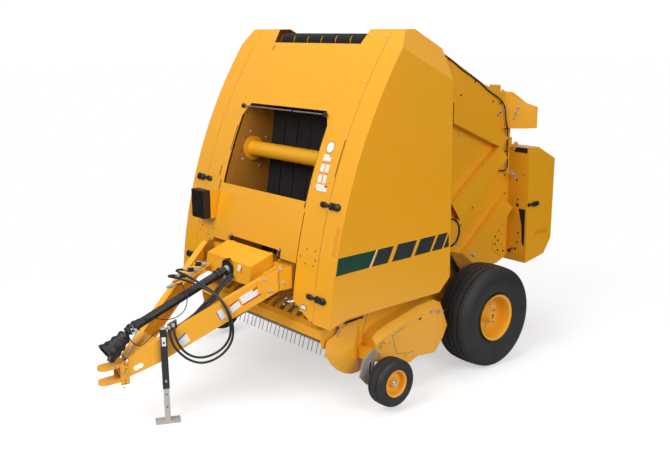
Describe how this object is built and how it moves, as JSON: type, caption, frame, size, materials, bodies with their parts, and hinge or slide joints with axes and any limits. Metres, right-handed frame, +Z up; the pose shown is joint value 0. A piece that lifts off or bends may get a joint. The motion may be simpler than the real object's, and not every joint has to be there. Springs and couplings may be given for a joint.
{
  "type": "pull-type round baler",
  "caption": "Towed round baler with drawbar, tined pickup on gauge wheels, curved front with side doors, belt chamber and a lifting tailgate with a net wrap box.",
  "frame": {"origin": "on the ground under the middle of the machine's length and width", "axes": "+X is the machine's left, +Y points to the rear, away from the hitch, and +Z is up"},
  "size_m": [2.699, 4.639, 3.09],
  "materials": {
    "yellow_paint": "gloss",
    "tyre_rubber": "matte",
    "belt_rubber": "matte",
    "black_paint": "satin",
    "black_plastic": "matte",
    "plain_steel": "satin",
    "zinc_plate": "satin"
  },
  "bodies": {
    "frame": {"axle": "yellow_paint", "front_panel": "yellow_paint", "left_wall": "yellow_paint", "right_wall": "yellow_paint", "cross_tube": "yellow_paint", "chamber_rollers": "yellow_paint", "front_belts": "belt_rubber", "main_frame": "yellow_paint", "left_beam": "yellow_paint", "right_beam": "yellow_paint", "drawbar_nose": "yellow_paint", "hitch_clevis": "yellow_paint", "jack_tube": "black_paint", "jack_leg": "plain_steel", "gearbox": "yellow_paint", "gearbox_cover": "yellow_paint", "pto_guard": "black_plastic", "pto_bell": "black_plastic", "left_tension_cylinder": "black_paint", "right_tension_cylinder": "black_paint", "hose_holder": "yellow_paint", "control_bracket": "yellow_paint", "control_box": "black_plastic"},
    "left_wheel": {"left_tyre": "tyre_rubber", "left_rim": "yellow_paint"},
    "right_wheel": {"right_tyre": "tyre_rubber", "right_rim": "yellow_paint"},
    "drive_yoke": {"pto_yoke": "plain_steel"},
    "left_door": {"left_door": "yellow_paint"},
    "right_door": {"right_door": "yellow_paint"},
    "lower_panel": {"lower_panel": "yellow_paint"},
    "pickup": {"pickup_frame": "yellow_paint", "stripper_bands": "yellow_paint", "left_shield": "yellow_paint", "right_shield": "yellow_paint", "left_drive_guard": "yellow_paint", "left_gauge_leg": "zinc_plate", "right_gauge_leg": "zinc_plate"},
    "left_gauge_wheel": {"left_gauge_tyre": "tyre_rubber", "left_gauge_rim": "yellow_paint"},
    "right_gauge_wheel": {"right_gauge_tyre": "tyre_rubber", "right_gauge_rim": "yellow_paint"},
    "reel": {"pickup_reel": "plain_steel"},
    "wind_guard": {"wind_guard": "yellow_paint"},
    "tailgate": {"left_gate_side": "yellow_paint", "right_gate_side": "yellow_paint", "gate_back": "yellow_paint", "gate_rollers": "plain_steel", "rear_belts": "belt_rubber", "net_box": "yellow_paint", "light_bar": "yellow_paint"},
    "net_cover": {"box_end_cover": "yellow_paint"},
    "left_barrel": {"left_barrel": "black_paint"},
    "left_rod": {"left_rod": "plain_steel"},
    "right_barrel": {"right_barrel": "black_paint"},
    "right_rod": {"right_rod": "plain_steel"}
  },
  "joints": [
    {"name": "left_wheel_spin", "type": "hinge", "parent": "frame", "child": "left_wheel", "pos_m": [1.06, 1.046, 0.475], "axis": [1, 0, 0], "continuous": true},
    {"name": "right_wheel_spin", "type": "hinge", "parent": "frame", "child": "right_wheel", "pos_m": [-1.06, 1.046, 0.475], "axis": [1, 0, 0], "continuous": true},
    {"name": "drive_yoke_spin", "type": "hinge", "parent": "frame", "child": "drive_yoke", "pos_m": [0, -2.084, 0.75], "axis": [0, -0.5328, -0.8463], "continuous": true},
    {"name": "left_door_swing", "type": "hinge", "parent": "frame", "child": "left_door", "pos_m": [1.097, 0.494, 1.3], "axis": [0, 0, 1], "range_deg": [0, 70]},
    {"name": "right_door_swing", "type": "hinge", "parent": "frame", "child": "right_door", "pos_m": [-1.097, 0.494, 1.3], "axis": [0, 0, -1], "range_deg": [0, 70]},
    {"name": "lower_panel_lift", "type": "hinge", "parent": "frame", "child": "lower_panel", "pos_m": [0, -0.70906, 1.669], "axis": [-1, 0, 0], "range_deg": [0, 80]},
    {"name": "pickup_lift", "type": "hinge", "parent": "frame", "child": "pickup", "pos_m": [0, 0.286, 0.545], "axis": [-1, 0, 0], "range_deg": [-4.5, 3]},
    {"name": "left_gauge_spin", "type": "hinge", "parent": "pickup", "child": "left_gauge_wheel", "pos_m": [1.272, -0.354, 0.259], "axis": [1, 0, 0], "continuous": true},
    {"name": "right_gauge_spin", "type": "hinge", "parent": "pickup", "child": "right_gauge_wheel", "pos_m": [-1.272, -0.354, 0.259], "axis": [1, 0, 0], "continuous": true},
    {"name": "reel_spin", "type": "hinge", "parent": "pickup", "child": "reel", "pos_m": [0, -0.454, 0.53], "axis": [1, 0, 0], "continuous": true},
    {"name": "wind_guard_tilt", "type": "hinge", "parent": "pickup", "child": "wind_guard", "pos_m": [0, -0.614, 0.665], "axis": [-1, 0, 0], "range_deg": [0, 6]},
    {"name": "tailgate_lift", "type": "hinge", "parent": "frame", "child": "tailgate", "pos_m": [0, 0.746, 2.78], "axis": [1, 0, 0], "range_deg": [0, 55]},
    {"name": "net_cover_swing", "type": "hinge", "parent": "tailgate", "child": "net_cover", "pos_m": [0.87, 2.319, 1.3], "axis": [0, 0, 1], "range_deg": [0, 100]},
    {"name": "left_barrel_swing", "type": "hinge", "parent": "frame", "child": "left_barrel", "pos_m": [0.665, 0.496, 1], "axis": [1, 0, 0], "range_deg": [-8.2, 0]},
    {"name": "left_rod_slide", "type": "slide", "parent": "left_barrel", "child": "left_rod", "axis": [0, 0.3303, 0.9439], "range_m": [0, 0.52]},
    {"name": "right_barrel_swing", "type": "hinge", "parent": "frame", "child": "right_barrel", "pos_m": [-0.665, 0.496, 1], "axis": [1, 0, 0], "range_deg": [-8.2, 0]},
    {"name": "right_rod_slide", "type": "slide", "parent": "right_barrel", "child": "right_rod", "axis": [0, 0.3303, 0.9439], "range_m": [0, 0.52]}
  ],
  "couplings": [
    {"joint": "left_barrel_swing", "follows": "tailgate_lift", "ratio": -0.147},
    {"joint": "left_rod_slide", "follows": "tailgate_lift", "m_per_rad": 0.5376},
    {"joint": "right_barrel_swing", "follows": "tailgate_lift", "ratio": -0.147},
    {"joint": "right_rod_slide", "follows": "tailgate_lift", "m_per_rad": 0.5376}
  ]
}
